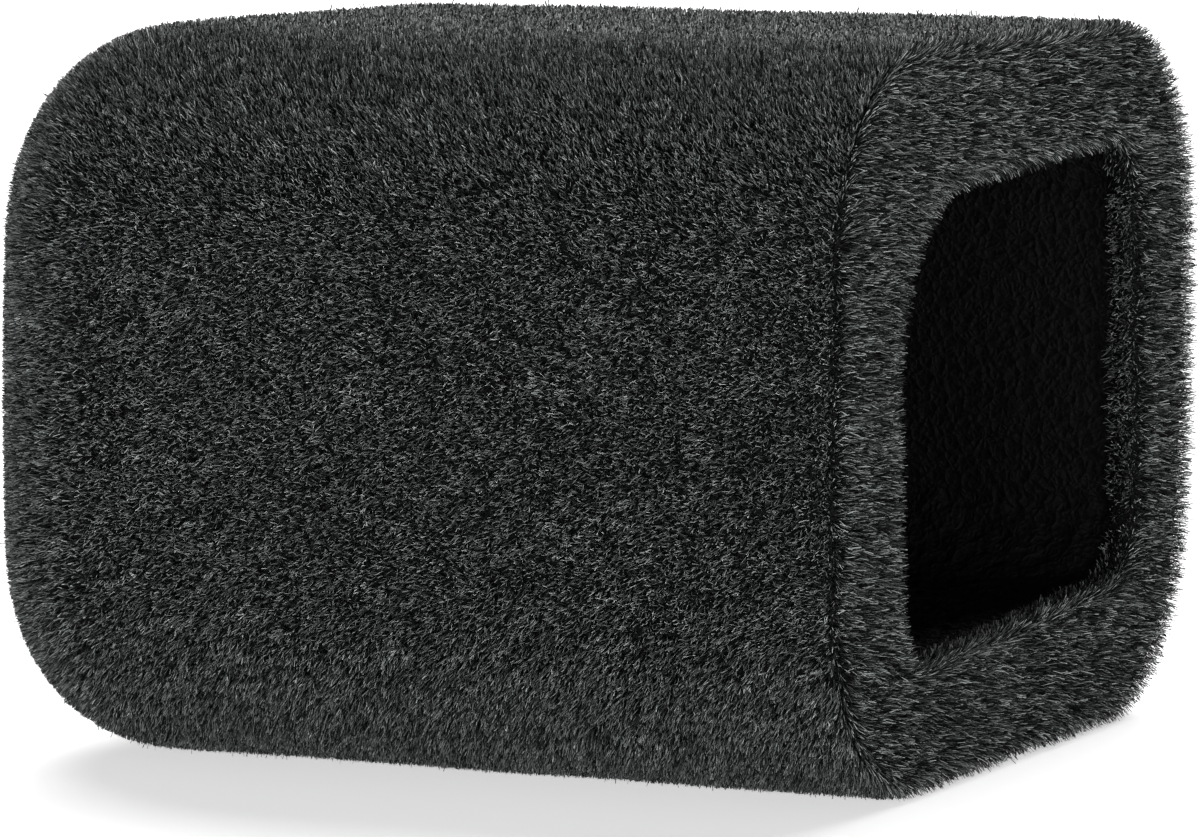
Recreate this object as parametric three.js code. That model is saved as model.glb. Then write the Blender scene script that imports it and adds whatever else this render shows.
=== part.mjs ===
// Furry slip-on windscreen for the microphone end of a handheld recorder.
// A soft box of open-cell foam, open at one end, with a short nylon pile all over its outside.
// Millimetres, +Z up. The origin is under the middle of the box, on the surface it lies on.
// The mouth faces -Y and the closed back faces +Y.

import * as THREE from 'three';

// ---------------------------------------------------------------- driving dimensions

const WIDTH = 117; // over the pile tips, along X, at half the height where the sides bulge most
const LENGTH = 109; // over the pile tips, along Y
const HEIGHT = 84; // over the pile tips, along Z
const CORNER_RADIUS = 24; // the four long corners that run from the mouth to the back
const SIDE_CROWN = 1.5; // how much less far out each side wall is at the top and the bottom
const BACK_RADIUS = 17; // the edge all round the closed back
const RIM_RADIUS = 2; // the edge all round the mouth end

const PILE = 1.5; // height of the nylon pile
const ADHESIVE = 0.3; // the film that the pile stands in
const GAP = 0.15; // air kept between neighbouring layers

const SIDE_MARGIN = 19.25; // from the pile tips outside to the pile tips in the mouth, left and right
const UPRIGHT_MARGIN = 16.5; // the same, above and below
const MOUTH_CORNER = 8; // three corners of the mouth
const MOUTH_CORNER_WIDE = 20; // the upper corner at -X, which is cut rounder than the others
const MOUTH_TURN = 2.5; // degrees that the mouth is turned from square, its +X side up
const RETURN_DEPTH = 5; // how far the pile turns into the mouth

const BACK_THICKNESS = 18; // foam behind the cavity
const BOND = 0.3; // glue line between the foam sleeve and the back block

const CORNER_STEPS = 8; // straight steps in each quarter turn of an outline
const EDGE_STEPS = 8; // straight steps in the quarter turn of the back edge
const WALL_STEPS = 4; // straight steps up each crowned side wall

// ---------------------------------------------------------------- sizes that follow

const FRONT = -LENGTH / 2; // the plane of the pile tips at the mouth
const BACK = LENGTH / 2; // the plane of the pile tips at the back
const BACK_TURN = BACK - BACK_RADIUS; // where the long sides start to turn into the back
const COAT = PILE + GAP; // from the pile tips down to the adhesive film
const SKIN = COAT + ADHESIVE + GAP; // from the pile tips down to the foam
const CAVITY_END = BACK - SKIN - BACK_THICKNESS; // the front face of the back block

// ---------------------------------------------------------------- materials

const finish = (color, roughness) => new THREE.MeshStandardMaterial({ color, roughness, metalness: 0 });

const foamGrey = finish(0x1c1d1e, 0.95);
const glueAmber = finish(0x3a3126, 0.4);
const adhesiveBlack = finish(0x0d0d0e, 0.5);
const pileBlack = finish(0x26292a, 0.9);

// ---------------------------------------------------------------- outlines

// The sides bulge: a point keeps its place at half the height and moves in towards the top and bottom.
function crowned([x, z]) {
  const rise = (z - HEIGHT / 2) / (HEIGHT / 2);
  return [x * (1 - (SIDE_CROWN / (WIDTH / 2)) * rise * rise), z];
}

// The mouth is cut a little out of square with the box: a turn about its own middle.
function turned([x, z]) {
  const angle = (MOUTH_TURN * Math.PI) / 180;
  const up = z - HEIGHT / 2;
  return [
    x * Math.cos(angle) - up * Math.sin(angle),
    HEIGHT / 2 + x * Math.sin(angle) + up * Math.cos(angle),
  ];
}

// A rounded rectangle in the XZ plane, counter-clockwise seen from -Y, from its lower right corner.
// radii go: lower right, upper right, upper left, lower left. Every outline has the same number of
// points, so any two of them can be joined into a wall.
function roundedRectangle(width, height, radii) {
  const corners = [
    [1, -1, -Math.PI / 2],
    [1, 1, 0],
    [-1, 1, Math.PI / 2],
    [-1, -1, Math.PI],
  ];
  const turn = ([sideX, sideZ, start], i) => {
    const radius = radii[i];
    const centreX = sideX * (width / 2 - radius);
    const centreZ = HEIGHT / 2 + sideZ * (height / 2 - radius);
    return Array.from({ length: CORNER_STEPS + 1 }, (_, step) => {
      const angle = start + (step / CORNER_STEPS) * (Math.PI / 2);
      return [centreX + radius * Math.cos(angle), centreZ + radius * Math.sin(angle)];
    });
  };
  const wall = ([fromX, fromZ], [toX, toZ]) =>
    Array.from({ length: WALL_STEPS - 1 }, (_, i) => {
      const share = (i + 1) / WALL_STEPS;
      return [fromX + (toX - fromX) * share, fromZ + (toZ - fromZ) * share];
    });
  const [lowerRight, upperRight, upperLeft, lowerLeft] = corners.map(turn);
  const rightWall = wall(lowerRight[CORNER_STEPS], upperRight[0]);
  const leftWall = wall(upperLeft[CORNER_STEPS], lowerLeft[0]);
  return [...lowerRight, ...rightWall, ...upperRight, ...upperLeft, ...leftWall, ...lowerLeft];
}

// The outside of the windscreen, a given depth under the pile tips.
function outside(depth) {
  const radius = CORNER_RADIUS - depth;
  const outline = roundedRectangle(WIDTH - 2 * depth, HEIGHT - 2 * depth, Array(4).fill(radius));
  return outline.map(crowned);
}

// The mouth, a given depth under the pile tips that line it.
function mouth(depth) {
  const width = WIDTH - 2 * SIDE_MARGIN + 2 * depth;
  const height = HEIGHT - 2 * UPRIGHT_MARGIN + 2 * depth;
  const radii = [MOUTH_CORNER, MOUTH_CORNER, MOUTH_CORNER_WIDE, MOUTH_CORNER];
  const outline = roundedRectangle(width, height, radii.map((radius) => radius + depth));
  return outline.map(turned).map(crowned);
}

const ring = (outline, y) => outline.map(([x, z]) => new THREE.Vector3(x, y, z));

// The rings over the rounded back edge, a given depth under the pile tips.
function backEdge(depth) {
  const radius = BACK_RADIUS - depth;
  return Array.from({ length: EDGE_STEPS + 1 }, (_, step) => {
    const angle = (step / EDGE_STEPS) * (Math.PI / 2);
    const inset = depth + radius * (1 - Math.cos(angle));
    return ring(outside(inset), BACK_TURN + radius * Math.sin(angle));
  });
}

// ---------------------------------------------------------------- solids from rings

// Walls between successive rings. A closed loop of rings makes a solid with a hole through it;
// otherwise the first and last rings are capped.
function loft(rings, closedLoop) {
  const count = rings[0].length;
  const points = rings.flat();
  const faces = [];
  const last = closedLoop ? rings.length : rings.length - 1;
  for (let r = 0; r < last; r += 1) {
    const here = r * count;
    const next = ((r + 1) % rings.length) * count;
    for (let i = 0; i < count; i += 1) {
      const j = (i + 1) % count;
      faces.push(here + i, here + j, next + j, here + i, next + j, next + i);
    }
  }
  if (!closedLoop) {
    capFaces(rings[0]).forEach(([a, b, c]) => faces.push(c, b, a));
    const start = (rings.length - 1) * count;
    capFaces(rings[rings.length - 1]).forEach(([a, b, c]) => faces.push(start + a, start + b, start + c));
  }
  return solidFrom(points, faces);
}

function capFaces(points) {
  return THREE.ShapeUtils.triangulateShape(points.map((p) => new THREE.Vector2(p.x, p.z)), []);
}

// A geometry from shared points and triangles, turned so that its faces point outwards.
function solidFrom(points, faces) {
  let volume = 0;
  for (let f = 0; f < faces.length; f += 3) {
    const [a, b, c] = [points[faces[f]], points[faces[f + 1]], points[faces[f + 2]]];
    volume += a.dot(new THREE.Vector3().crossVectors(b, c));
  }
  if (volume < 0) faces.reverse();
  const geometry = new THREE.BufferGeometry().setFromPoints(points);
  geometry.setIndex(faces);
  geometry.computeVertexNormals();
  return geometry;
}

// A line of points with half a gap taken off each end.
function trimEnds(line) {
  const nudge = ([x, z], [towardX, towardZ]) => {
    const share = GAP / 2 / Math.hypot(towardX - x, towardZ - z);
    return [x + (towardX - x) * share, z + (towardZ - z) * share];
  };
  const last = line.length - 1;
  return [nudge(line[0], line[1]), ...line.slice(1, last), nudge(line[last], line[last - 1])];
}

// A panel of pile: part of the outside outline, one pile height thick, along the straight walls.
function pilePanel(firstPoint, lastPoint) {
  const count = outside(0).length;
  const length = (lastPoint - firstPoint + count) % count;
  const indices = Array.from({ length: length + 1 }, (_, i) => (firstPoint + i) % count);
  const tips = trimEnds(indices.map((i) => outside(0)[i]));
  const roots = trimEnds(indices.map((i) => outside(PILE)[i])).reverse();
  const section = [...tips, ...roots];
  const start = FRONT + RIM_RADIUS + GAP;
  const end = BACK_TURN - GAP;
  return loft([ring(section, start), ring(section, end)], false);
}

// ---------------------------------------------------------------- the pieces

const windscreen = new THREE.Group();
windscreen.name = 'furry_windscreen';

function addPiece(name, geometry, material) {
  const mesh = new THREE.Mesh(geometry, material);
  mesh.name = name;
  windscreen.add(mesh);
}

// Foam tube with four walls, cut from one block, open at both ends.
function foamSleeve() {
  const start = FRONT + SKIN;
  const end = CAVITY_END - BOND - GAP;
  return loft(
    [ring(outside(SKIN), start), ring(outside(SKIN), end), ring(mouth(SKIN), end), ring(mouth(SKIN), start)],
    true,
  );
}

// Foam block that closes the back of the sleeve, with its rear edge rounded all round.
function foamBackBlock() {
  return loft([ring(outside(SKIN), CAVITY_END), ...backEdge(SKIN)], false);
}

// Glue line between the end of the sleeve and the back block.
function backBond() {
  const start = CAVITY_END - BOND - GAP / 2;
  const end = CAVITY_END - GAP / 2;
  return loft(
    [ring(outside(SKIN), start), ring(outside(SKIN), end), ring(mouth(SKIN), end), ring(mouth(SKIN), start)],
    true,
  );
}

// Adhesive film over the whole outside of the foam, across the rim and into the mouth.
function adhesiveCoat() {
  const side = (depth) => [
    ring(mouth(depth), FRONT + RETURN_DEPTH),
    ring(mouth(depth), FRONT + depth),
    ring(outside(depth), FRONT + depth),
    ...backEdge(depth),
  ];
  const outer = side(COAT);
  const inner = side(COAT + ADHESIVE);
  return loft([...outer.reverse(), ...inner], false);
}

// Pile on the closed back and over its rounded edge.
function pileBack() {
  return loft([...backEdge(0).reverse(), ...backEdge(PILE)], false);
}

// Pile on the flat rim round the mouth, turned over the rim's outer edge.
function pileMouthRim() {
  const half = Math.PI / 4;
  const inset = RIM_RADIUS * (1 - Math.cos(half));
  return loft(
    [
      ring(outside(0), FRONT + RIM_RADIUS),
      ring(outside(inset), FRONT + inset),
      ring(outside(RIM_RADIUS), FRONT),
      ring(mouth(0), FRONT),
      ring(mouth(0), FRONT + PILE),
      ring(outside(PILE), FRONT + PILE),
      ring(outside(PILE), FRONT + RIM_RADIUS),
    ],
    true,
  );
}

// Pile that turns into the mouth and lines the first stretch of the cavity.
function pileMouthReturn() {
  const start = FRONT + PILE + GAP;
  const end = FRONT + RETURN_DEPTH;
  return loft([ring(mouth(0), start), ring(mouth(0), end), ring(mouth(PILE), end), ring(mouth(PILE), start)], true);
}

addPiece('foam_sleeve', foamSleeve(), foamGrey);
addPiece('foam_back_block', foamBackBlock(), foamGrey);
addPiece('back_bond_line', backBond(), glueAmber);
addPiece('adhesive_coat', adhesiveCoat(), adhesiveBlack);

// The pile on the straight walls parts in the middle of each long corner.
const cornerPoints = CORNER_STEPS + 1;
const wallPoints = WALL_STEPS - 1;
const lowerRight = CORNER_STEPS / 2;
const upperRight = lowerRight + cornerPoints + wallPoints;
const upperLeft = upperRight + cornerPoints;
const lowerLeft = upperLeft + cornerPoints + wallPoints;
addPiece('pile_right_side', pilePanel(lowerRight, upperRight), pileBlack);
addPiece('pile_top', pilePanel(upperRight, upperLeft), pileBlack);
addPiece('pile_left_side', pilePanel(upperLeft, lowerLeft), pileBlack);
addPiece('pile_underside', pilePanel(lowerLeft, lowerRight), pileBlack);
addPiece('pile_back', pileBack(), pileBlack);
addPiece('pile_mouth_rim', pileMouthRim(), pileBlack);
addPiece('pile_mouth_return', pileMouthReturn(), pileBlack);

export default windscreen;
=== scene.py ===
# %% [markdown]
# # A flocked foam windscreen
#
# This lesson builds a slip-on windscreen for a hand-held sound recorder. The real thing is a block of
# black open-cell foam, a little bigger than a fist, with one large mouth that the recorder's microphones
# go into. Its outside is coated in glue and then flocked: short nylon fibres are shot into the wet glue
# by an electric field, so that they stand up like the pile of velvet. The pile breaks up the wind, and
# it is what people call the fur.
#
# There are three things to learn here: how to model a soft block from a plain cube, how to grow hundreds
# of thousands of fibres without any hair system, and how to light something that is almost black.
#
# The sizes come from a finished CAD model of the same object, which is loaded first. Every new piece
# takes its place from one of the CAD pieces, and then stands in for it.

import math

import bmesh
import bpy
from mathutils import Matrix, Vector


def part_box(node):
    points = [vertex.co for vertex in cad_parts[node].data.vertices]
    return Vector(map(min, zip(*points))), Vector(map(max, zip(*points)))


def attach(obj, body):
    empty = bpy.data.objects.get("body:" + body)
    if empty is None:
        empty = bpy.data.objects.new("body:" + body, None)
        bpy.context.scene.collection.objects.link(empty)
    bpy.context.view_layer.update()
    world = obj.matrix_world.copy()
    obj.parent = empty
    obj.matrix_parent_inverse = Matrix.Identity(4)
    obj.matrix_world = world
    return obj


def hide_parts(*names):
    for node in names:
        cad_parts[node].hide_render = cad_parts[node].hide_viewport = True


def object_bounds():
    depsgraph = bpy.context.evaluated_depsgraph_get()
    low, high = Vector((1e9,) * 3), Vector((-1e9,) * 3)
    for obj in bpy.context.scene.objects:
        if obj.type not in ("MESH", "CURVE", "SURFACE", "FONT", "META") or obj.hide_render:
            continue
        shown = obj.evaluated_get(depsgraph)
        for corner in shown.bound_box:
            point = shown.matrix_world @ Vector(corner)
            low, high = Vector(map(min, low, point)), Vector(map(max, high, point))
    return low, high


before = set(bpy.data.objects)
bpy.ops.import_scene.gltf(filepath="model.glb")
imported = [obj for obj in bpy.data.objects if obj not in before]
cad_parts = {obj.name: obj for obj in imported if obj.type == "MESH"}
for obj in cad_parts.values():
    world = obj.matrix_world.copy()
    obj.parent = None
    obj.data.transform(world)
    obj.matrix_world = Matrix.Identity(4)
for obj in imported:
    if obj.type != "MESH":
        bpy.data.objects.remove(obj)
cad_low, cad_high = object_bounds()

MM = 0.001
print("CAD model: %.1f x %.1f x %.1f mm" % tuple((cad_high - cad_low) / MM))
print("its pieces:", ", ".join(sorted(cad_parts)))

# %% [markdown]
# ## Driving sizes
#
# A windscreen like this is cut from foam and not moulded, so a few radii say nearly all of its shape.
# The block has large round corners along its length, a smaller turn round its closed back, and a crisp
# edge round the flat rim at the mouth. The mouth is a rounded rectangle too. Its upper corner on the left
# side is cut more than twice as round as the other three, and the whole mouth is turned a little out of
# square, which is the sort of thing that tells you a hand held the knife.
#
# All these sizes are measured on the outside of the pile. The layers lie one inside the other, so a
# deeper layer's outer corner is smaller by its depth, and its mouth is larger by its depth. The depths
# are read from the CAD boxes: a layer's lowest point is as far above the floor as it is deep.

# %% Name the radii and read the depth of each layer
CORNER = 24 * MM
BACK_TURN = 17 * MM
MOUTH_CORNER = 8 * MM
MOUTH_CORNER_WIDE = 20 * MM
MOUTH_WIDTH = 78.5 * MM
MOUTH_HEIGHT = 51 * MM
MOUTH_TURN = math.radians(2.5)
middle = (cad_low + cad_high) / 2

film_low, film_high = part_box("adhesive_coat")
foam_low, foam_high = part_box("foam_sleeve")
block_low, block_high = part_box("foam_back_block")
bond_low, bond_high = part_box("back_bond_line")
return_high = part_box("pile_mouth_return")[1]

film_depth = film_low.z - cad_low.z
foam_depth = foam_low.z - cad_low.z
print("glue film %.2f mm below the tips, foam %.2f mm" % (film_depth / MM, foam_depth / MM))

# %% [markdown]
# ## Selecting by place
#
# Blender's operators work on whatever is selected and active. By hand you see what is selected, but a
# script doesn't, so each step starts by selecting one thing and nothing else. The first helper makes a
# single object active. The next three go into edit mode and select the edges or faces that pass a test.
# The test looks at where the edge or face is, or which way it faces, just as you would. The last two
# leave edit mode, and apply a modifier, which turns its effect into plain mesh.

# %% Helpers that select
def only(piece):
    if bpy.context.mode != "OBJECT":
        bpy.ops.object.mode_set(mode="OBJECT")
    bpy.ops.object.select_all(action="DESELECT")
    piece.select_set(True)
    bpy.context.view_layer.objects.active = piece


def select_part(piece, kind, wanted):
    only(piece)
    bpy.ops.object.mode_set(mode="EDIT")
    bpy.ops.mesh.select_mode(type=kind)
    bpy.ops.mesh.select_all(action="DESELECT")
    mesh = bmesh.from_edit_mesh(piece.data)
    found = [part for part in (mesh.edges if kind == "EDGE" else mesh.faces) if wanted(part)]
    for part in found:
        part.select_set(True)
    bmesh.update_edit_mesh(piece.data)
    return len(found)


def select_edges(piece, wanted):
    return select_part(piece, "EDGE", wanted)


def select_faces(piece, wanted):
    return select_part(piece, "FACE", wanted)


def object_mode():
    bpy.ops.object.mode_set(mode="OBJECT")


def apply_modifier(piece, modifier):
    only(piece)
    bpy.ops.object.modifier_apply(modifier=modifier.name)


# %% [markdown]
# ## A block with round corners
#
# Every layer is the same form: a long block whose four long edges are round. By hand you would add a
# cube, scale it to size, select the four edges that run along it and bevel them. The bevel's offset is
# the corner radius, and its segments decide how smooth the corner is. A second bevel on the edges
# round the back face makes the soft turn of the closed end, and a third, much smaller one takes the
# sharpness off the front edge.
#
# Two habits help. The scale is applied before the bevel, because a bevel works in the object's own
# units, and on a scaled cube it would come out stretched. And where one corner has a radius of its own,
# it is bevelled first. After that, the corners still to do are the ones that are still square.

# %% Make a rounded block
CORNER_STEPS = 8
EDGE_STEPS = 4
SQUARE = math.radians(80)
NEARLY_ALL = 0.9
TOUCHING = 0.001 * MM


def is_square_corner(edge, length):
    along = abs(edge.verts[0].co.y - edge.verts[1].co.y)
    return along > NEARLY_ALL * length and edge.calc_face_angle(0) > SQUARE


def lies_at(edge, y):
    return all(abs(vertex.co.y - y) < TOUCHING for vertex in edge.verts)


def bevel_selected(radius, steps):
    bpy.ops.mesh.bevel(offset=radius, segments=steps, affect="EDGES", profile=0.5)


def round_block(name, low, high, corner, back=0, front=0, wide=0):
    length = high.y - low.y
    centre = (low + high) / 2
    bpy.ops.object.select_all(action="DESELECT")
    bpy.ops.mesh.primitive_cube_add(size=1, location=centre, scale=high - low)
    block = bpy.context.object
    block.name = name
    bpy.ops.object.transform_apply(location=True, rotation=True, scale=True)
    if wide:
        def upper_left(edge):
            end = edge.verts[0].co
            return is_square_corner(edge, length) and end.x < centre.x and end.z > centre.z

        select_edges(block, upper_left)
        bevel_selected(wide, CORNER_STEPS)
    select_edges(block, lambda edge: is_square_corner(edge, length))
    bevel_selected(corner, CORNER_STEPS)
    if back:
        select_edges(block, lambda edge: lies_at(edge, high.y))
        bevel_selected(back, CORNER_STEPS)
    if front:
        select_edges(block, lambda edge: lies_at(edge, low.y))
        bevel_selected(front, EDGE_STEPS)
    object_mode()
    return block


# %% [markdown]
# ## Cutting the mouth
#
# The mouth is cut with a Boolean modifier: a second block, a little longer than the hole is deep, is
# taken away from the first. The alternative is to inset and extrude the front face inwards, but an inset
# of a round-cornered face can't give the mouth corners of its own. The cutter is deleted once the
# modifier has been applied.
#
# The cutter is made square and then turned about its own middle. Blender turns an object about its
# origin, so the origin is moved to the middle of the block first. A test for whether a point lies in the
# mouth does the opposite: it turns the point back, and then a plain box test is enough.

# %% Cut one piece with another
PAST = 10 * MM


def cut_away(piece, cutter):
    cut = piece.modifiers.new("mouth", "BOOLEAN")
    cut.operation = "DIFFERENCE"
    cut.solver = "EXACT"
    cut.object = cutter
    apply_modifier(piece, cut)
    bpy.data.objects.remove(cutter)


def mouth_cutter(name, depth, start, end):
    """A block that cuts the mouth of the layer which lies this far under the tips of the pile."""
    half = Vector((MOUTH_WIDTH / 2 + depth, 0, MOUTH_HEIGHT / 2 + depth))
    low = middle - half
    high = middle + half
    low.y = start
    high.y = end
    cutter = round_block(name, low, high, MOUTH_CORNER + depth, wide=MOUTH_CORNER_WIDE + depth)
    bpy.ops.object.origin_set(type="ORIGIN_GEOMETRY", center="BOUNDS")
    cutter.rotation_euler.y = -MOUTH_TURN
    bpy.ops.object.transform_apply(location=True, rotation=True, scale=True)
    return cutter


def in_mouth(point, depth):
    """True inside the mouth, and as far outside it as the given depth."""
    across = point.x - middle.x
    up = point.z - middle.z
    straight_across = across * math.cos(MOUTH_TURN) + up * math.sin(MOUTH_TURN)
    straight_up = up * math.cos(MOUTH_TURN) - across * math.sin(MOUTH_TURN)
    return abs(straight_across) < MOUTH_WIDTH / 2 + depth and abs(straight_up) < MOUTH_HEIGHT / 2 + depth


def edge_in_mouth(edge, depth):
    return all(in_mouth(vertex.co, depth) for vertex in edge.verts)


print("mouth: %.1f x %.1f mm, turned %.1f degrees" % (
    MOUTH_WIDTH / MM,
    MOUTH_HEIGHT / MM,
    math.degrees(MOUTH_TURN),
))

# %% [markdown]
# ## Soft and hand-cut, not machined
#
# A cut block of foam is never quite straight. Its sides belly out a little, because foam swells away
# from its corners, and its faces wander by a few tenths of a millimetre where the cutting wire wandered.
#
# The belly is made with a lattice, which is a soft cage of points round the piece. This one has three
# rows of points from floor to top. The top and bottom rows are drawn in by the crown, the middle row
# stays where it is, and everything inside follows smoothly. The right-hand side has also sagged
# outwards from its middle up, as a soft wall does that has been stretched over a recorder, so the two
# upper rows of that side are moved out. All the pieces pass through the same cage, so the layers keep
# their distance from each other.
#
# The wander is a Displace modifier with a cloud texture whose lumps are about 30 mm across. It needs
# points to move in the middle of the large faces, and a bevelled cube has none there, so the block is
# first sliced by planes. Bisect cuts every face that a plane crosses and leaves the shape as it is.

# %% Build the cage
CROWN = 1.5 * MM
RIGHT_SAG = 1.2 * MM

cad_size = cad_high - cad_low
bpy.ops.object.select_all(action="DESELECT")
bpy.ops.object.add(type="LATTICE", location=middle)
cage = bpy.context.object
cage.name = "crown_cage"
cage.scale = cad_size
cage.data.points_u = 2
cage.data.points_v = 2
cage.data.points_w = 3
cage.data.interpolation_type_u = "KEY_LINEAR"
cage.data.interpolation_type_v = "KEY_LINEAR"
cage.data.interpolation_type_w = "KEY_CATMULL_ROM"
for point in cage.data.points:
    row = round(2 * point.co.z)
    across = point.co.x
    if row != 0:
        across *= 1 - CROWN / (cad_size.x / 2)
    if row >= 0 and point.co.x > 0:
        across += RIGHT_SAG / cad_size.x
    point.co_deform = (across, point.co.y, point.co.z)
print("cage points:", len(cage.data.points))

# %% Slice, belly and wander
SLICE = 5 * MM
WANDER = 0.5 * MM
LUMP = 30 * MM

clouds = bpy.data.textures.new("cutting_wander", "CLOUDS")
clouds.noise_scale = LUMP
clouds.noise_depth = 1


def slice_up(piece):
    only(piece)
    bpy.ops.object.mode_set(mode="EDIT")
    for axis in range(3):
        normal = Vector((0, 0, 0))
        normal[axis] = 1
        count = round(cad_size[axis] / SLICE)
        for i in range(1, count):
            place = Vector((0, 0, 0))
            place[axis] = cad_low[axis] + cad_size[axis] * i / count
            bpy.ops.mesh.select_all(action="SELECT")
            bpy.ops.mesh.bisect(plane_co=place, plane_no=normal)
    object_mode()


def belly(piece):
    soft = piece.modifiers.new("belly", "LATTICE")
    soft.object = cage
    apply_modifier(piece, soft)


def wander(piece):
    rough = piece.modifiers.new("wander", "DISPLACE")
    rough.texture = clouds
    rough.texture_coords = "LOCAL"
    rough.strength = WANDER
    rough.mid_level = 0.5
    apply_modifier(piece, rough)


print("slices:", [round(side / SLICE) for side in cad_size])

# %% [markdown]
# ## The glue film
#
# The first real piece is the film of flock adhesive. It is a thin skin over the whole outside, over the
# flat rim and a few millimetres into the mouth, which is as far as the spray gun reaches. Its outer face
# is where every fibre is rooted, so it is made before the pile and with some care.
#
# The steps are: a rounded block, a pocket cut into its front, and the pocket's end face deleted, which
# leaves an open shell with a short collar. The sharp edge where the rim turns into the mouth gets a
# small bevel. It matters, because the fibres stand square to the film, and a bevel gives them a way
# round the corner.

# %% Shape the planting surface
FRONT_EDGE = 0.9 * MM
MOUTH_EDGE = 1.0 * MM
NEAR = 0.3 * MM
pocket_end = return_high.y

planting = round_block(
    "planting_surface",
    film_low,
    film_high,
    corner=CORNER - film_depth,
    back=BACK_TURN - film_depth,
    front=FRONT_EDGE,
)
cut_away(planting, mouth_cutter("pocket", film_depth, film_low.y - PAST, pocket_end))


def is_mouth_edge(edge):
    return lies_at(edge, film_low.y) and edge_in_mouth(edge, film_depth + NEAR)


closed_end = select_faces(planting, lambda f: abs(f.calc_center_median().y - pocket_end) < TOUCHING)
bpy.ops.mesh.delete(type="FACE")
mouth_edges = select_edges(planting, is_mouth_edge)
bevel_selected(MOUTH_EDGE, EDGE_STEPS)
object_mode()
print("closed end:", closed_end, "face, mouth edges bevelled:", mouth_edges)

# %% [markdown]
# The shell is now a stiff box. It is sliced, put through the cage and given its wander, as every layer
# is. Before it loses its straight edges, the faces of both bevels are kept in a vertex group, so that
# the pile can be planted closer there.

# %% Slice it and bend it
ACROSS, ALONG = 0.2, 0.98


def is_turned(face):
    """True on a bevel at the mouth end, which faces neither across the block nor along it."""
    return ACROSS < abs(face.normal.y) < ALONG and face.calc_center_median().y < 0


slice_up(planting)
turns = select_faces(planting, is_turned)
planting.vertex_groups.new(name="turned_edge")
bpy.ops.object.vertex_group_assign()
object_mode()
belly(planting)
wander(planting)
bpy.ops.object.shade_smooth()
print("planting surface:", len(planting.data.polygons), "faces,", turns, "of them on a turned edge")

# %% [markdown]
# The shell has no thickness yet. It is kept like that as the planting surface, and a copy of it becomes
# the film, with a Solidify modifier that thickens it inwards. Wet flock adhesive is laid on a few tenths
# of a millimetre thick.

# %% Give the film its thickness
FILM = 0.3 * MM

only(planting)
bpy.ops.object.duplicate()
film = bpy.context.object
film.name = "flock_adhesive_film"
thickness = film.modifiers.new("thickness", "SOLIDIFY")
thickness.thickness = FILM
thickness.offset = -1
apply_modifier(film, thickness)
film.vertex_groups.clear()
print("film:", len(film.data.polygons), "faces")

# %% [markdown]
# ## The foam
#
# The body of the windscreen is reticulated foam, a sponge whose cell walls have been burst, so that
# only the struts between the cells are left. Air passes through it and gusts don't. It is a tube of four
# thick walls, the sleeve, and a block that closes the end.
#
# The cells show only inside the mouth, because everywhere else the film covers them. So only those
# faces are made fine: the long edges on them are halved again and again until none is longer than the
# limit. This puts the points where they do some good, and the outside stays light.
#
# A second Displace then presses the cells in. Its texture is a Voronoi pattern, which splits space into
# cells round scattered points and gives the distance to the nearest point: nothing at the middle of a
# cell, most at its edge. That is a pit with a strut round it. A vertex group keeps it off every other
# face, and the middle level is set high, so that the pits go into the foam and nothing stands out of it.

# %% Halve edges, and press in the cells
CELL = 1.9 * MM
CELL_DEPTH = 1.3 * MM
CELL_LEVEL = 0.8

cells = bpy.data.textures.new("foam_cells", "VORONOI")
cells.noise_scale = CELL
cells.distance_metric = "DISTANCE"


def refine(piece, wanted, longest):
    rounds = 0
    while select_edges(piece, lambda e: e.calc_length() > longest and wanted(e)):
        bpy.ops.mesh.subdivide(number_cuts=1)
        rounds += 1
    object_mode()
    return rounds


def press_cells(piece, wanted):
    select_faces(piece, wanted)
    piece.vertex_groups.new(name="open_cells")
    bpy.ops.object.vertex_group_assign()
    object_mode()
    pits = piece.modifiers.new("cells", "DISPLACE")
    pits.texture = cells
    pits.texture_coords = "LOCAL"
    pits.vertex_group = "open_cells"
    pits.strength = CELL_DEPTH
    pits.mid_level = CELL_LEVEL
    apply_modifier(piece, pits)
    piece.vertex_groups.clear()


# %% [markdown]
# ### The sleeve
#
# The sleeve is cut from a slab by one pass of a wire round the outside and one round the hole. So it is
# a rounded block with a cutter pushed right through it. Its walls are refined first and bent after that,
# because the tests for place expect a straight mouth.

# %% Make the sleeve
FOAM_EDGE = 0.5 * MM
FINE = 0.62 * MM
HALF_TURNED = 0.5

sleeve = round_block("foam_sleeve_open_cell", foam_low, foam_high, CORNER - foam_depth, front=FOAM_EDGE)
cut_away(sleeve, mouth_cutter("cavity", foam_depth, foam_low.y - PAST, foam_high.y + PAST))
slice_up(sleeve)


def in_cavity(point):
    return in_mouth(point, foam_depth + NEAR)


def wall_face(face):
    return abs(face.normal.y) < HALF_TURNED and in_cavity(face.calc_center_median())


def wall_edge(edge):
    return edge_in_mouth(edge, foam_depth + NEAR)


rounds = refine(sleeve, wall_edge, FINE)
belly(sleeve)
wander(sleeve)
press_cells(sleeve, wall_face)
bpy.ops.object.shade_smooth()
print("sleeve:", rounds, "rounds,", len(sleeve.data.polygons), "faces")

# %% [markdown]
# ### The back block
#
# The block closes the end, and carries the soft turn round the back. Only the patch of it that shows at
# the end of the cavity gets cells.

# %% Make the back block
block = round_block(
    "foam_back_block_open_cell",
    block_low,
    block_high,
    corner=CORNER - foam_depth,
    back=BACK_TURN - foam_depth,
)
slice_up(block)


def end_face(face):
    return face.normal.y < -NEARLY_ALL and in_cavity(face.calc_center_median())


def end_edge(edge):
    return lies_at(edge, block_low.y) and wall_edge(edge)


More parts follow.
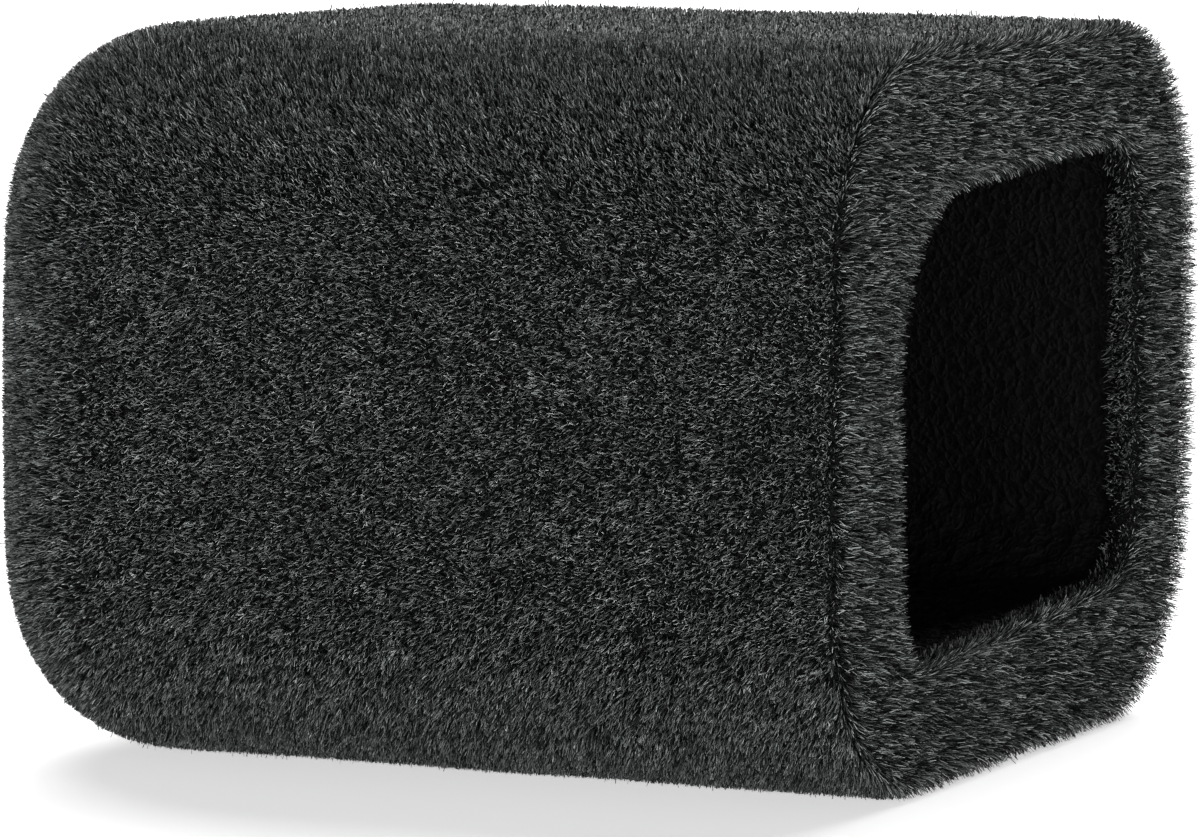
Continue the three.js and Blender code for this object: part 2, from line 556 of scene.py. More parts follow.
rounds = refine(block, end_edge, FINE)
belly(block)
wander(block)
press_cells(block, end_face)
bpy.ops.object.shade_smooth()
print("back block:", rounds, "rounds,", len(block.data.polygons), "faces")

# %% [markdown]
# ## The glue line
#
# The block is held on the sleeve's end by contact glue, brushed on both faces and pressed together. The
# joint is a flat ring as thick as a few sheets of paper. It is the same rounded block once more, very
# short, with the cavity cut out of it. Its front edges are rounded by a bevel, as squeezed glue is.

# %% Make the glue line
GLUE_EDGE = 0.1 * MM
GLUE_STEPS = 2
GLUE_SMOOTH = math.radians(35)

glue = round_block("back_glue_line", bond_low, bond_high, CORNER - foam_depth)
cut_away(glue, mouth_cutter("glue_hole", foam_depth, bond_low.y - PAST, bond_high.y + PAST))
rim_edges = select_edges(glue, lambda e: lies_at(e, bond_low.y) and e.calc_face_angle(0) > SQUARE)
bevel_selected(GLUE_EDGE, GLUE_STEPS)
object_mode()
slice_up(glue)
belly(glue)
wander(glue)
bpy.ops.object.shade_smooth_by_angle(angle=GLUE_SMOOTH)
print("glue line:", len(glue.data.polygons), "faces,", rim_edges, "edges rounded")

# %% [markdown]
# ## One fibre
#
# A pile fibre is a straight rod of nylon, nearly twenty times as long as it is thick. There will be
# hundreds of thousands, so this one shape has to be as light as it can be. It is a cone with a
# three-sided base, which has four points and four faces, with the points moved: two make a short edge
# at the root, and two make a short edge at the tip, turned by a quarter. From any side it looks like a
# thin rod, it is closed, and no shape in space has fewer faces.
#
# It is modelled one unit high. Its thickness is real, and each copy's length comes from its scale.

# %% Model the fibre
THICK = 0.11 * MM
ROOT_IN_GLUE = -0.04

bpy.ops.object.select_all(action="DESELECT")
bpy.ops.mesh.primitive_cone_add(vertices=3, radius1=THICK, radius2=0, depth=1)
fibre = bpy.context.object
fibre.name = "one_fibre"
places = (
    (-THICK / 2, 0, ROOT_IN_GLUE),
    (THICK / 2, 0, ROOT_IN_GLUE),
    (0, -THICK / 2, 1),
    (0, THICK / 2, 1),
)
for vertex, place in zip(fibre.data.vertices, places):
    vertex.co = place
only(fibre)
bpy.ops.object.mode_set(mode="EDIT")
bpy.ops.mesh.select_all(action="SELECT")
bpy.ops.mesh.normals_make_consistent(inside=False)
object_mode()
print("fibre:", len(fibre.data.vertices), "points,", len(fibre.data.polygons), "faces")

# %% [markdown]
# ## The colours of black
#
# Black pile isn't one black to the eye. Nylon fibre is dyed right through, but each one catches the
# light in its own way, with its own twist. Seen close up, most fibres are almost as dark as the gaps,
# and a few are bright enough to draw the pattern. So the pile gets a palette of seven finishes, from
# soot to grey, which are painted light: lit and shaded copies of one black nylon, the dark ones painted
# shade and the light ones painted glints. The planting step deals them out, the dark ones more often
# than the light.
#
# The alternative is one material with a noise texture for its colour. On fibres this thin a texture
# can't be baked for other programs, so the palette does the same work with plain materials.
#
# The dark ones also reflect less. A smooth black surface in a white studio still mirrors some of the
# white, and a few per cent of white would be brighter than the dye. A dark fibre is painted shade, for
# one that is deep in the pile and sees only other fibres, so its specular level is turned nearly off.
# The lightest ones are painted sparkle, so theirs is high. Each line of the palette is one finish: how
# grey it is painted, and its specular level.

# %% Mix the seven finishes
NYLON_ROUGHNESS = 0.35
TINT = (0.93, 1.0, 0.99)
# Painted light: the dark finishes are painted shade, and the light ones are painted glints.
PAINTED_SHADE_TO_GLINT = (
    (0.006, 0.03),
    (0.026, 0.06),
    (0.058, 0.12),
    (0.098, 0.25),
    (0.155, 0.40),
    (0.240, 0.60),
    (0.450, 0.90),
)


def shader_of(material):
    return material.node_tree.nodes["Principled BSDF"]


def nylon(name, grey, specular):
    material = bpy.data.materials.new(name)
    material.use_nodes = True
    shader = shader_of(material)
    shader.inputs["Base Color"].default_value = (*[grey * share for share in TINT], 1)
    shader.inputs["Roughness"].default_value = NYLON_ROUGHNESS
    shader.inputs["Specular IOR Level"].default_value = specular
    return material


for number, (grey, specular) in enumerate(PAINTED_SHADE_TO_GLINT, start=1):
    fibre.data.materials.append(nylon(f"nylon_black_{number}", grey, specular))
print("finishes on the fibre:", len(fibre.data.materials))

# %% [markdown]
# ## Planting the pile
#
# The pile is planted with Geometry Nodes, which is a small program drawn as a graph. Particles or hair
# curves would also do it, but a node graph can be applied like any other modifier and leaves a plain
# mesh behind. The graph has five parts, and each gets a function of its own below:
#
# 1. **Where**: scatter points over the planting surface.
# 2. **Which way**: lean and turn every fibre.
# 3. **How long**: give each its own length and thickness.
# 4. **Which black**: deal out the finishes.
# 5. **Make it real**: put the fibre on every point, turn the copies into one mesh, and stop it at the
#    floor.
#
# In the editor you add a node, set it up and drag wires to its sockets. The helper below does the same
# in one call: an input that is another node's output gets a wire, and any other input gets a value.

# %% A short way to add nodes
class Nodes:
    """A node tree with a short way to add a node and wire its inputs."""

    def __init__(self, tree):
        self.tree = tree

    def add(self, kind, inputs=None, **settings):
        node = self.tree.nodes.new(kind)
        for key, value in settings.items():
            setattr(node, key, value)
        for socket, value in (inputs or {}).items():
            if isinstance(value, bpy.types.NodeSocket):
                self.tree.links.new(value, node.inputs[socket])
            else:
                node.inputs[socket].default_value = value
        return node

    def maths(self, operation, *values):
        return self.add("ShaderNodeMath", dict(enumerate(values)), operation=operation).outputs[0]


class Graph(Nodes):
    """A geometry node tree, which takes a mesh in and gives one back."""

    def __init__(self, name):
        super().__init__(bpy.data.node_groups.new(name, "GeometryNodeTree"))
        for way in ("INPUT", "OUTPUT"):
            self.tree.interface.new_socket("Geometry", in_out=way, socket_type="NodeSocketGeometry")
        self.start = self.tree.nodes.new("NodeGroupInput").outputs[0]

    def vector(self, operation, inputs):
        return self.add("ShaderNodeVectorMath", inputs, operation=operation).outputs[0]

    def end(self, socket):
        self.tree.links.new(socket, self.tree.nodes.new("NodeGroupOutput").inputs[0])


# %% [markdown]
# ### Where
#
# The field that shoots the fibres into the glue is strongest at an edge, so the real pile is closest
# there. It has to be, because on a tight turn the fibres fan out, and the glue would show between them.
# The graph does it with the vertex group of the turned edges, whose weight is 1 on the turns and 0
# elsewhere. The density is multiplied by one, plus a bit more than twice that weight.

# %% Scatter the points
EDGE_CLOSER = 2.2


def scatter(graph, per_mm2, seed):
    edge = graph.add("GeometryNodeInputNamedAttribute", {"Name": "turned_edge"}).outputs[0]
    closer = graph.maths("MULTIPLY_ADD", edge, EDGE_CLOSER, 1.0)
    density = graph.maths("MULTIPLY", closer, per_mm2 / MM**2)
    inputs = {"Mesh": graph.start, "Density": density, "Seed": seed}
    return graph.add("GeometryNodeDistributePointsOnFaces", inputs)


print("on a turned edge the pile is %.1f times as close" % (1 + EDGE_CLOSER))

# %% [markdown]
# ### Which way
#
# A fibre starts out square to the surface. Three things are then added to that arrow:
#
# * a **lean** of its own, which is a new random arrow for every fibre,
# * a **swirl**, which changes over several millimetres, as pile does where a hand has brushed it,
# * a **clump**, which changes over about a millimetre, so that neighbours lean together and leave small
#   dark partings. Only the rim, the mouth and the underside have clumps, from rubbing and pressing.
#
# The last two come from a noise texture used as a field of arrows. Noise stays near its middle value, so
# the arrows are made longer, to reach about the length of one. At the end each fibre is spun about its
# own length, which makes its flat tip catch the light or miss it.

# %% Give each fibre a direction
SWIRL_SIZE = 6 * MM
CLUMP_SIZE = 1.2 * MM
NOISE_MIDDLE = (0.5, 0.5, 0.5)
NOISE_REACH = 4


def drifting(graph, size):
    """A colour, which is three numbers from 0 to 1, that changes slowly from place to place."""
    place = graph.add("GeometryNodeInputPosition").outputs[0]
    return graph.add("ShaderNodeTexNoise", {"Vector": place, "Scale": 1 / size, "Detail": 1.0})


def drift(graph, size, amount):
    """An arrow that changes slowly from place to place, and points no way in particular."""
    colour = drifting(graph, size).outputs["Color"]
    centred = graph.vector("SUBTRACT", {0: colour, 1: NOISE_MIDDLE})
    return graph.vector("SCALE", {0: centred, "Scale": NOISE_REACH * amount})


def direction(graph, facing, look, seed):
    lean = look["lean"]
    inputs = {0: (-lean,) * 3, 1: (lean,) * 3, "Seed": seed}
    own_way = graph.add("FunctionNodeRandomValue", inputs, data_type="FLOAT_VECTOR").outputs[0]
    way = graph.vector("ADD", {0: facing, 1: own_way})
    way = graph.vector("ADD", {0: way, 1: drift(graph, SWIRL_SIZE, look["swirl"])})
    way = graph.vector("ADD", {0: way, 1: drift(graph, CLUMP_SIZE, look["clump"])})
    stood_up = graph.add("FunctionNodeAlignRotationToVector", {"Vector": way}, axis="Z").outputs[0]
    turn = graph.add("FunctionNodeRandomValue", {2: 0.0, 3: math.tau, "Seed": seed + 1}).outputs[1]
    about_itself = graph.add("ShaderNodeCombineXYZ", {"Z": turn}).outputs[0]
    spin = graph.add("FunctionNodeEulerToRotation", {0: about_itself}).outputs[0]
    inputs = {0: stood_up, 1: spin}
    return graph.add("FunctionNodeRotateRotation", inputs, rotation_space="LOCAL").outputs[0]


# %% [markdown]
# ### How long
#
# Flock is chopped from a bundle of thread, so its lengths vary a little, and a few fibres come out of the
# cutter too long. One in a hundred is enough to break up the outline. The length is the copy's scale
# along Z, and its thickness is its scale along X and Y.

# %% Give each fibre a size
THIN, STOUT = 0.75, 1.2
STRAY_SHARE = 0.01
STRAY_LONGER = 0.3


def size_of_each(graph, look, seed):
    shortest = look["length"] * (1 - look["uneven"])
    longest = look["length"] * (1 + look["uneven"] / 2)
    low = (THIN * look["stout"], THIN * look["stout"], shortest)
    high = (STOUT * look["stout"], STOUT * look["stout"], longest)
    inputs = {0: low, 1: high, "Seed": seed}
    size = graph.add("FunctionNodeRandomValue", inputs, data_type="FLOAT_VECTOR").outputs[0]
    chance = graph.add("FunctionNodeRandomValue", {"Seed": seed + 1}).outputs[1]
    stray = graph.maths("LESS_THAN", chance, STRAY_SHARE)
    longer = graph.maths("MULTIPLY_ADD", stray, STRAY_LONGER, 1.0)
    only_length = graph.add("ShaderNodeCombineXYZ", {"X": 1.0, "Y": 1.0, "Z": longer}).outputs[0]
    return graph.vector("MULTIPLY", {0: size, 1: only_length})


# %% [markdown]
# ### Which black
#
# A random number from 0 to 1 is raised to a power, which makes most of the numbers small and so most of
# the fibres dark, with the painted shade of the palette. It is also multiplied by a share that drifts
# over a couple of millimetres, so that the pile gets lighter and darker tufts. Times the number of
# shades and rounded down, it is the number of a finish. The product can come out just above the last
# finish, and then the last one is meant.

# %% Deal out the finishes
TUFT_SIZE = 2 * MM
TUFT_SHARE = 0.35
LIGHTEST = len(PAINTED_SHADE_TO_GLINT) - 1


def finish_of_each(graph, look, seed):
    chance = graph.add("FunctionNodeRandomValue", {"Seed": seed}).outputs[1]
    # Most fibres get the dark finishes, which are painted shade.
    dark = graph.maths("POWER", chance, look["dark"])
    tuft = drifting(graph, TUFT_SIZE).outputs[0]
    share = graph.maths("MULTIPLY_ADD", tuft, 2 * TUFT_SHARE, 1 - TUFT_SHARE)
    return graph.maths("MULTIPLY", graph.maths("MULTIPLY", dark, share), look["shades"])


print("finishes: 0 is soot and", LIGHTEST, "the lightest grey")

# %% [markdown]
# ### Make it real
#
# The finish is worked out on the points, because that is where there is one number for each fibre, and
# it is captured there, so that it is still known after the copies have become a mesh. The windscreen
# stands on its pile, so any point of a fibre that would lie below the floor is moved up to it. That
# flattens the fibres underneath, as the weight of the thing does.

# %% Put the parts of the graph together
FLOOR_GAP = 0.02 * MM


def pressed_by_floor(graph, fibres):
    place = graph.add("GeometryNodeInputPosition").outputs[0]
    apart = graph.add("ShaderNodeSeparateXYZ", {0: place}).outputs
    height = graph.maths("MAXIMUM", apart["Z"], FLOOR_GAP)
    lifted = graph.add("ShaderNodeCombineXYZ", {"X": apart["X"], "Y": apart["Y"], "Z": height})
    inputs = {"Geometry": fibres, "Position": lifted.outputs[0]}
    return graph.add("GeometryNodeSetPosition", inputs).outputs[0]


def planting_graph(name, per_mm2, look, seed):
    graph = Graph(name)
    points = scatter(graph, per_mm2, seed)
    keep = graph.add("GeometryNodeCaptureAttribute")
    keep.capture_items.new("FLOAT", "finish")
    graph.tree.links.new(points.outputs["Points"], keep.inputs["Geometry"])
    graph.tree.links.new(finish_of_each(graph, look, seed + 5), keep.inputs["finish"])
    one = graph.add("GeometryNodeObjectInfo", {"Object": fibre}).outputs["Geometry"]
    copies = graph.add("GeometryNodeInstanceOnPoints", {
        "Points": keep.outputs["Geometry"],
        "Instance": one,
        "Rotation": direction(graph, points.outputs["Normal"], look, seed + 1),
        "Scale": size_of_each(graph, look, seed + 3),
    }).outputs[0]
    real = graph.add("GeometryNodeRealizeInstances", {0: copies}).outputs[0]
    whole = graph.maths("FLOOR", keep.outputs["finish"])
    finish = graph.maths("MINIMUM", whole, LIGHTEST)
    inputs = {"Geometry": real, "Material Index": finish}
    dealt = graph.add("GeometryNodeSetMaterialIndex", inputs).outputs[0]
    smooth = graph.add("GeometryNodeSetShadeSmooth", {"Geometry": dealt}).outputs[0]
    graph.end(pressed_by_floor(graph, smooth))
    return graph.tree


# %% [markdown]
# ## Panels of pile
#
# The coat is planted panel by panel, for two reasons. A mesh of more than 200,000 triangles is heavy to
# handle, and the panels aren't alike: the underside has been pressed flat by standing on it, and the
# pile on the rim is longer and less even.
#
# Each face of the planting surface belongs to one panel, by where it is and which way it faces. A
# panel is a copy of the planting surface with every other face deleted. The graph then replaces the
# faces with fibres. Where a panel would be too heavy it is planted in parts, and each part is again
# known by where its faces are.

# %% Sort the faces into panels
back_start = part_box("pile_back")[0].y
FACING_FRONT = -0.5
INSIDE = 0.6 * MM


def panel_of(face):
    centre = face.calc_center_median()
    past_rim = film_low.y + INSIDE < centre.y < pocket_end + INSIDE
    if face.normal.y < FACING_FRONT:
        return "pile_mouth_rim"
    if past_rim and in_mouth(centre, film_depth + NEAR):
        return "pile_mouth_return"
    if centre.y > back_start:
        return "pile_back"
    if abs(face.normal.x) > abs(face.normal.z):
        return "pile_left_side" if face.normal.x < 0 else "pile_right_side"
    return "pile_top" if face.normal.z > 0 else "pile_underside"


wall_third = (back_start - cad_low.y) / 3
corner_x = cad_low.x + CORNER
PARTS = {
    "whole": lambda centre: True,
    "front": lambda centre: centre.y < cad_low.y + wall_third,
    "middle": lambda centre: cad_low.y + wall_third <= centre.y < back_start - wall_third,
    "rear": lambda centre: centre.y >= back_start - wall_third,
    "corner": lambda centre: centre.x < corner_x,
    "flat": lambda centre: centre.x >= corner_x,
    "left": lambda centre: centre.x < 0,
    "right": lambda centre: centre.x >= 0,
}
print("a side is planted in thirds of %.1f mm" % (wall_third / MM))

# %% [markdown]
# ### The look of each panel
#
# The looks are lists of the values that the graph asks for. The walls have even, dense pile and hardly
# any of the lightest shade. The rim's pile is longer, more uneven and clumped, and dealt mostly dark, as
# painted shade, and the few light fibres in it are lighter still, as painted glints. Just inside the
# mouth the pile is short, because the recorder rubs there, and it is dealt darker, as painted shade in
# the mouth. The underside is pressed, and dealt darker without the lightest finishes, as painted shade
# under the block.
#
# The fine, close pile is planted on the side and the corners that face the camera. The top is seen at a
# flat angle, and the rest of the back and the right side not at all, so they get fewer and stouter
# fibres, which cover the glue as well.
#
# Each panel has a seed of its own, which is where its random numbers start. The same seed gives the same
# pile every time.

# %% Describe the looks
WALL = dict(length=1.8 * MM, uneven=0.12, stout=0.88, lean=0.4, swirl=0.15, clump=0.0, dark=1.4, shades=6)
# The rim is dealt darker, as painted shade, and its seventh finish is a brighter painted glint.
RIM = dict(length=1.95 * MM, uneven=0.42, stout=0.78, lean=0.32, swirl=0.2, clump=0.35, dark=2.5, shades=7)
# Short from rubbing, and dealt darker: painted shade inside the mouth.
WORN_AND_SHADED = dict(length=1.1 * MM, uneven=0.3, stout=1.0, lean=0.4, swirl=0.2, clump=0.2, dark=2.5, shades=6)
STOUTER = dict(length=1.8 * MM, uneven=0.16, stout=1.35, lean=0.5, swirl=0.2, clump=0.0, dark=1.4, shades=6)
# Flattened by the weight, and dealt darker with no light finishes: painted shade under the block.
PRESSED_AND_SHADED = dict(length=1.75 * MM, uneven=0.16, stout=1.3, lean=0.5, swirl=0.3, clump=0.2, dark=2.0, shades=5)
print("pile on the walls: %.1f mm, on the rim: %.2f mm" % (WALL["length"] / MM, RIM["length"] / MM))


# %% Plant every panel
def plant(node, part, per_mm2, look, seed):
    only(planting)
    bpy.ops.object.duplicate()
    panel = bpy.context.object
    panel.name = node.replace("pile", "fibres") + "_" + part
    select_faces(panel, lambda f: panel_of(f) == node and PARTS[part](f.calc_center_median()))
    bpy.ops.mesh.select_all(action="INVERT")
    bpy.ops.mesh.delete(type="FACE")
    object_mode()
    grow = panel.modifiers.new("pile", "NODES")
    grow.node_group = planting_graph(panel.name, per_mm2, look, seed)
    apply_modifier(panel, grow)
    fibres = len(panel.data.polygons) // len(fibre.data.polygons)
    print("%-26s %6d fibres" % (panel.name, fibres))
    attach(panel, "root")
    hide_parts(node)
    return panel


panels = [
    plant("pile_left_side", "front", 18, WALL, 10),
    plant("pile_left_side", "middle", 18, WALL, 20),
    plant("pile_left_side", "rear", 18, WALL, 30),
    plant("pile_top", "corner", 18, WALL, 40),
    plant("pile_top", "flat", 5.5, STOUTER, 50),
    plant("pile_underside", "corner", 16, WALL, 60),
    plant("pile_underside", "flat", 2.5, PRESSED_AND_SHADED, 70),
    plant("pile_mouth_rim", "left", 11, RIM, 80),
    plant("pile_mouth_rim", "right", 8, RIM, 90),
    plant("pile_mouth_return", "whole", 9, WORN_AND_SHADED, 100),
    plant("pile_back", "corner", 14, WALL, 110),
    plant("pile_back", "flat", 5, STOUTER, 120),
    plant("pile_right_side", "whole", 5.5, STOUTER, 130),
]
total = sum(len(panel.data.polygons) for panel in panels)
print("pile in all:", total, "triangles")

# %% [markdown]
# ## Finishes for the foam, the film and the glue
#
# These three are solid surfaces, so their finishes are drawn with procedural textures. All of them read
# Object coordinates, which are real distances in the piece's own space, so a scale of 1 / 2 mm means
# lumps that are really 2 mm across. The helper adds a node for each kind of pattern, and spans a pattern
# from one value to another. Roughness gets a pattern too. The plain number set first is all that a
# program without these patterns could read.

# %% Helpers for drawing a finish
PLAIN_ROUGHNESS = 0.8


class Finish(Nodes):
    """A material with a short way to add the nodes that these finishes are drawn with."""

    def __init__(self, name, specular):
        self.material = bpy.data.materials.new(name)
        self.material.use_nodes = True
        super().__init__(self.material.node_tree)
        self.shader = shader_of(self.material)
        self.shader.inputs["Specular IOR Level"].default_value = specular
        self.shader.inputs["Roughness"].default_value = PLAIN_ROUGHNESS
        self.place = self.add("ShaderNodeTexCoord").outputs["Object"]

    def noise(self, size):
        inputs = {"Vector": self.place, "Scale": 1 / size, "Detail": 4.0}
        return self.add("ShaderNodeTexNoise", inputs).outputs[0]

    def cells(self, size):
        inputs = {"Vector": self.place, "Scale": 1 / size}
        return self.add("ShaderNodeTexVoronoi", inputs, feature="DISTANCE_TO_EDGE").outputs[0]

    def span(self, value, low, high, end=1.0):
        """Turns a value that runs from 0 to end into one that runs from low to high."""
        inputs = {0: value, 1: 0.0, 2: end, 3: low, 4: high}
        return self.add("ShaderNodeMapRange", inputs).outputs[0]

    def blend(self, share, first, second):
        ramp = self.add("ShaderNodeValToRGB", {0: share})
        ramp.color_ramp.elements[0].color = (*first, 1)
        ramp.color_ramp.elements[1].color = (*second, 1)
        return ramp.outputs[0]

    def wire(self, socket, value):
        self.tree.links.new(value, self.shader.inputs[socket])

    def bump(self, height, depth, strength):
        inputs = {"Height": height, "Distance": depth, "Strength": strength}
        self.wire("Normal", self.add("ShaderNodeBump", inputs).outputs[0])


# %% [markdown]
# ### Foam
#
# The pattern is the same kind of Voronoi cell as the one that shaped the surface. The distance to the
# nearest cell wall makes the struts lighter than the holes, which is painted shade in the cells, and a
# second, finer layer adds the small cells between the big ones. The bump node lifts the struts, and a
# fine grain keeps any stretch from looking like plastic. Light that gets into open foam hardly comes out
# again, so both colours are the darkest here: the foam's own black, set darker still as painted shade
# of the cavity. The struts are only just lighter than the holes.

# %% Draw the foam
SMALL_CELL = 0.9 * MM
GRAIN = 0.12 * MM
STRUT_EDGE = 0.3
STRUT_HEIGHT = 0.35 * MM
# Painted shade: the holes are darker than the struts, and both are darker than black foam, for the cavity.
HOLE_BLACK_AND_SHADE = (0.0006, 0.0006, 0.0007)
STRUT_BLACK = (0.0026, 0.0027, 0.0028)

foam_finish = Finish("open_cell_foam", specular=0.1)
big = foam_finish.span(foam_finish.cells(CELL), 1.0, 0.0, end=STRUT_EDGE)
small = foam_finish.span(foam_finish.cells(SMALL_CELL), 0.6, 0.0, end=STRUT_EDGE)
struts = foam_finish.maths("ADD", big, small)
grain = foam_finish.noise(GRAIN)
most = foam_finish.span(struts, 0.0, 0.75)
rest = foam_finish.span(grain, 0.0, 0.25)
shade = foam_finish.maths("ADD", most, rest)
relief = foam_finish.maths("ADD", struts, foam_finish.span(grain, 0.0, 0.3))
foam_finish.wire("Base Color", foam_finish.blend(shade, HOLE_BLACK_AND_SHADE, STRUT_BLACK))
foam_finish.wire("Roughness", foam_finish.span(struts, 0.95, 0.7))
foam_finish.bump(relief, depth=STRUT_HEIGHT, strength=0.8)
print("foam finish:", len(foam_finish.tree.nodes), "nodes")

# %% [markdown]
# ### Flock adhesive
#
# It is a water-based glue filled with soot. Its colours are nearly as dark as the foam: the glue's own
# black, set darker still as painted shade in the gaps between the fibres. It is a little glossier where
# it has pooled. Thousands of pinholes show where fibres stand in it.

# %% Draw the flock adhesive
POOL = 6 * MM
PINHOLE = 0.3 * MM
# The glue's own black, set darker still as painted shade between the fibres.
FILM_BLACK = (0.0050, 0.0052, 0.0053)
POOL_BLACK = (0.0090, 0.0094, 0.0096)

film_finish = Finish("flock_glue_film", specular=0.03)
pool = film_finish.noise(POOL)
pinholes = film_finish.span(film_finish.cells(PINHOLE), 0.0, 1.0, end=0.3)
relief = film_finish.maths("ADD", pinholes, film_finish.span(pool, 0.0, 0.5))
film_finish.wire("Base Color", film_finish.blend(pool, FILM_BLACK, POOL_BLACK))
film_finish.wire("Roughness", film_finish.span(pool, 0.75, 0.5))
film_finish.bump(relief, depth=0.1 * MM, strength=0.6)
print("adhesive finish:", len(film_finish.tree.nodes), "nodes")

# %% [markdown]
# ### Contact glue
#
# It dries to a dark amber rubber with brush marks, which are a noise with lumps a millimetre across.

# %% Draw the contact glue
BRUSH = 1.2 * MM
AMBER_DARK = (0.020, 0.013, 0.007)
AMBER = (0.055, 0.040, 0.024)

glue_finish = Finish("contact_glue_amber", specular=0.4)
brush = glue_finish.noise(BRUSH)
glue_finish.wire("Base Color", glue_finish.blend(brush, AMBER_DARK, AMBER))
glue_finish.wire("Roughness", glue_finish.span(brush, 0.3, 0.55))
glue_finish.bump(brush, depth=0.1 * MM, strength=0.5)
print("glue finish:", len(glue_finish.tree.nodes), "nodes")

# %% [markdown]
# ## Put the finishes on, and hide the CAD pieces
#
# Each finished piece rides on a body, which is the whole object here because nothing moves. It stands
# for one piece of the CAD model, which is hidden. The table lists that CAD piece, a slot, which is a
# short name for what the piece is made of, and the finish, which is put on. The two foam pieces are soft
# all through. The things that were only needed on the way are thrown out.

# %% Put the finishes on, and hide the CAD pieces
SOLID_PIECES = (
    (film, "adhesive_coat", "flock_adhesive", film_finish),
    (sleeve, "foam_sleeve", "foam", foam_finish),
    (block, "foam_back_block", "foam", foam_finish),
    (glue, "back_bond_line", "contact_glue", glue_finish),
)

for piece, node, slot, finish in SOLID_PIECES:
    piece.data.materials.clear()
    piece.data.materials.append(finish.material)
    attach(piece, "root")
    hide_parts(node)

for scrap in (planting, fibre, cage):
    bpy.data.objects.remove(scrap)
print("solid pieces:", ", ".join(piece.name for piece, *rest in SOLID_PIECES))

# %% [markdown]
# ## The camera
#
# The windscreen is seen from its left, with the mouth to the right and turned well away, from a little
# above its middle. A long lens from a little under a metre keeps it calm, with only a slight narrowing
# towards the back. The camera is placed by its angle round the object, its height as an angle, and its
# distance from the point that it looks at. The three directions right, up and back make the columns of
# its matrix.

# %% Place the camera
AZIMUTH = math.radians(-66.53)
ELEVATION = math.radians(5.6)
ROLL = math.radians(0.36)
DISTANCE = 839.8 * MM
LENS = 213.6
SENSOR = 36
LOOK_AT = Vector((1.2, 0, 36.9)) * MM

back = Vector((
    math.sin(AZIMUTH) * math.cos(ELEVATION),
    -math.cos(AZIMUTH) * math.cos(ELEVATION),
    math.sin(ELEVATION),
))
level_right = Vector((0, 0, 1)).cross(back).normalized()
level_up = back.cross(level_right)
right = level_right * math.cos(ROLL) + level_up * math.sin(ROLL)
up = level_up * math.cos(ROLL) - level_right * math.sin(ROLL)

camera = bpy.data.objects.new("camera", bpy.data.cameras.new("camera"))
bpy.context.scene.collection.objects.link(camera)
turned = Matrix((right, up, back)).transposed().to_4x4()
camera.matrix_world = Matrix.Translation(LOOK_AT + back * DISTANCE) @ turned
camera.data.lens = LENS
camera.data.sensor_width = SENSOR
camera.data.clip_start = 50 * MM
camera.data.clip_end = 50
bpy.context.scene.camera = camera
print("camera %.0f mm from the object, %.1f mm lens" % (DISTANCE / MM, LENS))

# %% [markdown]
# ## The floor
#
# Something this dark needs a lot of white round it. In a product studio the floor is often a sheet of
# white acrylic with lamps under it, which glows of its own accord and lets only a pale shadow show. The
# plane gets the same treatment: a pale finish that also gives off some light.

# %% Lay the floor
FLOOR_SIZE = 16
FLOOR_WHITE = 0.85
FLOOR_GLOW = 0.55

bpy.ops.object.select_all(action="DESELECT")
bpy.ops.mesh.primitive_plane_add(size=FLOOR_SIZE, location=(0, 0, 0))
floor = bpy.context.object
floor.name = "studio_floor"
acrylic = bpy.data.materials.new("white_acrylic")
acrylic.use_nodes = True
shader_of(acrylic).inputs["Base Color"].default_value = (FLOOR_WHITE, FLOOR_WHITE, FLOOR_WHITE, 1)
shader_of(acrylic).inputs["Roughness"].default_value = 0.9
shader_of(acrylic).inputs["Emission Color"].default_value = (1, 1, 1, 1)
shader_of(acrylic).inputs["Emission Strength"].default_value = FLOOR_GLOW
floor.data.materials.append(acrylic)
print("floor:", FLOOR_SIZE, "m across")

# %% [markdown]
# ## The walls of the studio
#
# The world is the light that comes from everywhere round the scene. Here it is a room with white walls
# and a dim ceiling. The walls are what a low camera sees behind the object, so they have to be white.
# The ceiling is kept dim, because light from straight above fills the gaps between the fibres and turns
# black pile into grey.
#
# A direction in the world is a point on a ball, and its Z says how far up it looks. A Map Range node
# makes the strength of the light from that: the full wall light near the horizon, fading to the ceiling.

# %% Build the world
WALL_LIGHT = 1.0
CEILING_LIGHT = 0.12
LOW_WALL = 0.1

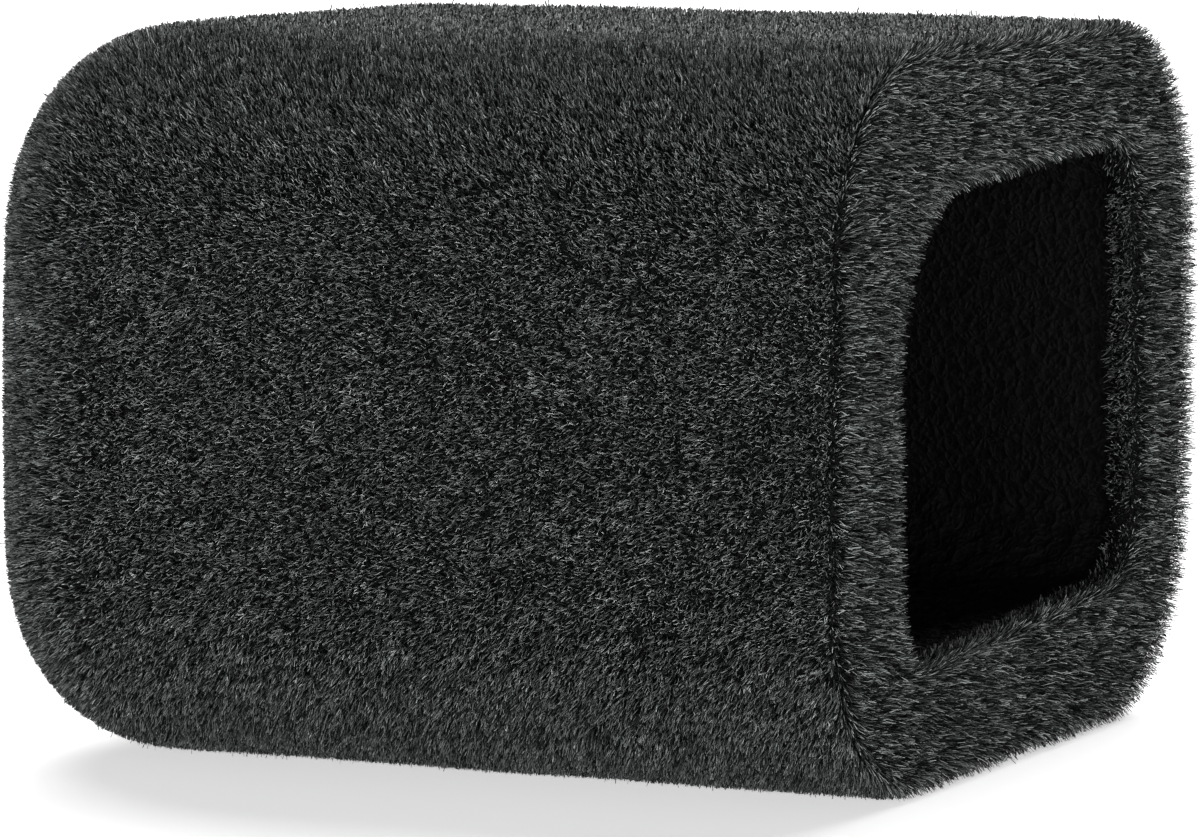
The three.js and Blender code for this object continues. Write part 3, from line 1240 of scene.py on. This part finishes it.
world = bpy.data.worlds.new("white_studio")
world.use_nodes = True
sky = Nodes(world.node_tree)
way_out = sky.add("ShaderNodeTexCoord").outputs["Generated"]
upwards = sky.add("ShaderNodeSeparateXYZ", {0: way_out}).outputs["Z"]
fade = sky.add("ShaderNodeMapRange", {
    "Value": upwards,
    "From Min": LOW_WALL,
    "From Max": 2 * LOW_WALL,
    "To Min": WALL_LIGHT,
    "To Max": CEILING_LIGHT,
}).outputs[0]
background = sky.tree.nodes["Background"]
background.inputs["Color"].default_value = (1, 1, 1, 1)
sky.tree.links.new(fade, background.inputs["Strength"])
bpy.context.scene.world = world
print("world: walls", WALL_LIGHT, "and ceiling", CEILING_LIGHT)

# %% [markdown]
# ## The lights
#
# The main light is one very large soft lamp, high up, behind the object and to its right. It is a sun
# with a wide angle. It lights the top and leaves the sides that face the camera in their own shade, so
# that the black stays black.
#
# Pile shows its texture when light rakes across it, so two more soft lamps stand low down. One is on the
# left, for the long side. The other is smaller, further to the front, and lights the rim. It also
# reaches a little way into the mouth, just enough to show the cells on the far wall.
#
# A lamp shines along its own minus Z. So its plus Z is pointed away from what it lights, and a tracking
# rotation does that from one arrow.

# %% Set up the lights
def add_light(name, kind, strength, away):
    lamp = bpy.data.lights.new(name, kind)
    lamp.energy = strength
    light = bpy.data.objects.new(name, lamp)
    bpy.context.scene.collection.objects.link(light)
    light.rotation_euler = away.to_track_quat("Z", "Y").to_euler()
    return light


def soft_sun(name, towards, strength, angle):
    light = add_light(name, "SUN", strength, Vector(towards))
    light.data.angle = math.radians(angle)


def soft_box(name, place, size, power):
    light = add_light(name, "AREA", power, Vector(place) - LOOK_AT)
    light.data.shape = "SQUARE"
    light.data.size = size
    light.location = place


soft_sun("from_behind", (0.9, 0.3, 0.9), strength=4.8, angle=60)
soft_box("left_fill", (-1.2, -0.1, 0.05), size=0.5, power=10.5)
soft_box("front_fill", (-0.9, -1.0, 0.1), size=0.2, power=6.5)
bpy.context.scene.view_settings.view_transform = "Standard"
print("lights:", ", ".join(lamp.name for lamp in bpy.data.lights))
